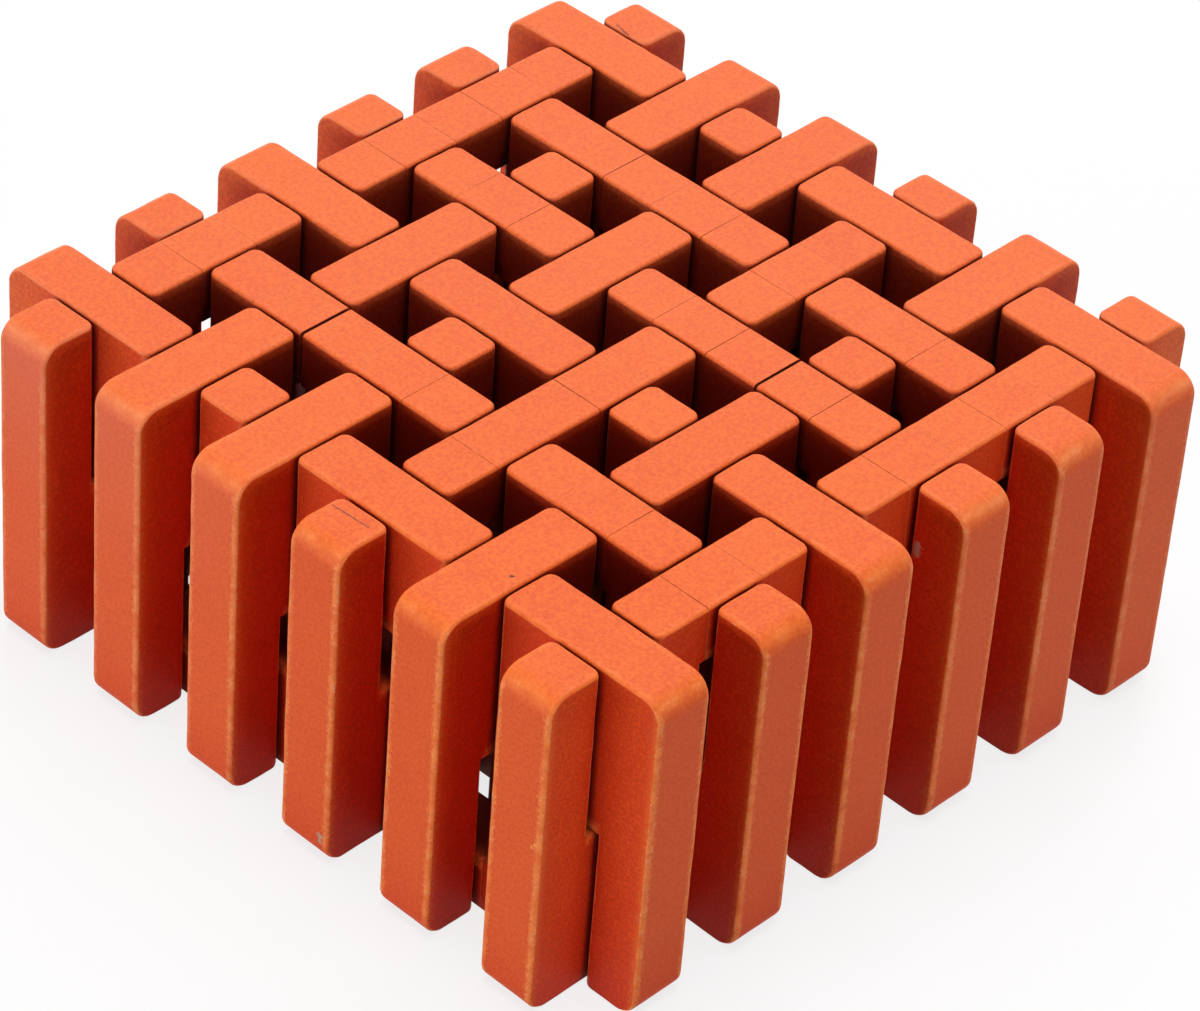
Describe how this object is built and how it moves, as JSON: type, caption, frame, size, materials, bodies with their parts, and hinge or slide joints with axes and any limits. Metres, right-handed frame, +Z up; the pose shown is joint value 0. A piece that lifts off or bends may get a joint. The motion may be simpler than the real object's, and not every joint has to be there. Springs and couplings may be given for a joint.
{
  "type": "woven lattice puzzle",
  "caption": "Wooden brain teaser of painted boards standing on edge, laced over and under each other both ways; each board winds like a snake and slides up and down in the others' slots.",
  "frame": {"origin": "centre of the square footprint, on the surface that the puzzle stands on", "axes": "+Z up, +X along the weft boards, +Y along the warp boards"},
  "size_m": [0.1062, 0.1062, 0.0456],
  "materials": {
    "orange_paint": "satin orange paint over sanded wood, worn paler along the edges"
  },
  "bodies": {
    "weft_1": {"weft_1_head_link": "orange_paint", "weft_1_mid_post": "orange_paint", "weft_1_middle_link": "orange_paint", "weft_1_tail_link": "orange_paint", "weft_1_splice_blocks": "orange_paint"},
    "weft_2": {"weft_2_head_link": "orange_paint", "weft_2_mid_post": "orange_paint", "weft_2_middle_link": "orange_paint", "weft_2_tail_link": "orange_paint", "weft_2_splice_blocks": "orange_paint"},
    "weft_3": {"weft_3_head_link": "orange_paint", "weft_3_mid_post": "orange_paint", "weft_3_middle_link": "orange_paint", "weft_3_tail_link": "orange_paint", "weft_3_splice_blocks": "orange_paint"},
    "weft_4": {"weft_4_head_link": "orange_paint", "weft_4_mid_post": "orange_paint", "weft_4_middle_link": "orange_paint", "weft_4_tail_link": "orange_paint", "weft_4_splice_blocks": "orange_paint"},
    "weft_5": {"weft_5_head_link": "orange_paint", "weft_5_mid_post": "orange_paint", "weft_5_middle_link": "orange_paint", "weft_5_tail_link": "orange_paint", "weft_5_splice_blocks": "orange_paint"},
    "weft_6": {"weft_6_head_link": "orange_paint", "weft_6_mid_post": "orange_paint", "weft_6_middle_link": "orange_paint", "weft_6_tail_link": "orange_paint", "weft_6_splice_blocks": "orange_paint"},
    "warp_1": {"warp_1_head_link": "orange_paint", "warp_1_mid_post": "orange_paint", "warp_1_middle_link": "orange_paint", "warp_1_tail_link": "orange_paint", "warp_1_splice_blocks": "orange_paint"},
    "warp_2": {"warp_2_head_link": "orange_paint", "warp_2_mid_post": "orange_paint", "warp_2_middle_link": "orange_paint", "warp_2_tail_link": "orange_paint", "warp_2_splice_blocks": "orange_paint"},
    "warp_3": {"warp_3_head_link": "orange_paint", "warp_3_mid_post": "orange_paint", "warp_3_middle_link": "orange_paint", "warp_3_tail_link": "orange_paint", "warp_3_splice_blocks": "orange_paint"},
    "warp_4": {"warp_4_head_link": "orange_paint", "warp_4_mid_post": "orange_paint", "warp_4_middle_link": "orange_paint", "warp_4_tail_link": "orange_paint", "warp_4_splice_blocks": "orange_paint"},
    "warp_5": {"warp_5_head_link": "orange_paint", "warp_5_mid_post": "orange_paint", "warp_5_middle_link": "orange_paint", "warp_5_tail_link": "orange_paint", "warp_5_splice_blocks": "orange_paint"},
    "warp_6": {"warp_6_head_link": "orange_paint", "warp_6_mid_post": "orange_paint", "warp_6_middle_link": "orange_paint", "warp_6_tail_link": "orange_paint", "warp_6_splice_blocks": "orange_paint"}
  },
  "joints": [
    {"name": "warp_6_lift", "type": "slide", "parent": "warp_1", "child": "warp_6", "axis": [0, 0, 1], "range_m": [0, 0.0076]},
    {"name": "weft_1_lift", "type": "slide", "parent": "warp_6", "child": "weft_1", "axis": [0, 0, 1], "range_m": [0, 0.0076]},
    {"name": "weft_6_lift", "type": "slide", "parent": "warp_6", "child": "weft_6", "axis": [0, 0, 1], "range_m": [0, 0.0076]},
    {"name": "weft_2_lift", "type": "slide", "parent": "warp_1", "child": "weft_2", "axis": [0, 0, 1], "range_m": [0, 0.0152]},
    {"name": "weft_3_lift", "type": "slide", "parent": "warp_1", "child": "weft_3", "axis": [0, 0, 1], "range_m": [0, 0.0152]},
    {"name": "weft_4_lift", "type": "slide", "parent": "warp_1", "child": "weft_4", "axis": [0, 0, 1], "range_m": [0, 0.0076]},
    {"name": "weft_5_lift", "type": "slide", "parent": "warp_1", "child": "weft_5", "axis": [0, 0, 1], "range_m": [0, 0.0152]},
    {"name": "warp_2_lift", "type": "slide", "parent": "warp_1", "child": "warp_2", "axis": [0, 0, 1], "range_m": [0, 0.0228]},
    {"name": "warp_3_lift", "type": "slide", "parent": "warp_1", "child": "warp_3", "axis": [0, 0, 1], "range_m": [0, 0.0152]},
    {"name": "warp_4_lift", "type": "slide", "parent": "warp_1", "child": "warp_4", "axis": [0, 0, 1], "range_m": [0, 0.0076]},
    {"name": "warp_5_lift", "type": "slide", "parent": "warp_1", "child": "warp_5", "axis": [0, 0, 1], "range_m": [0, 0.0228]}
  ]
}
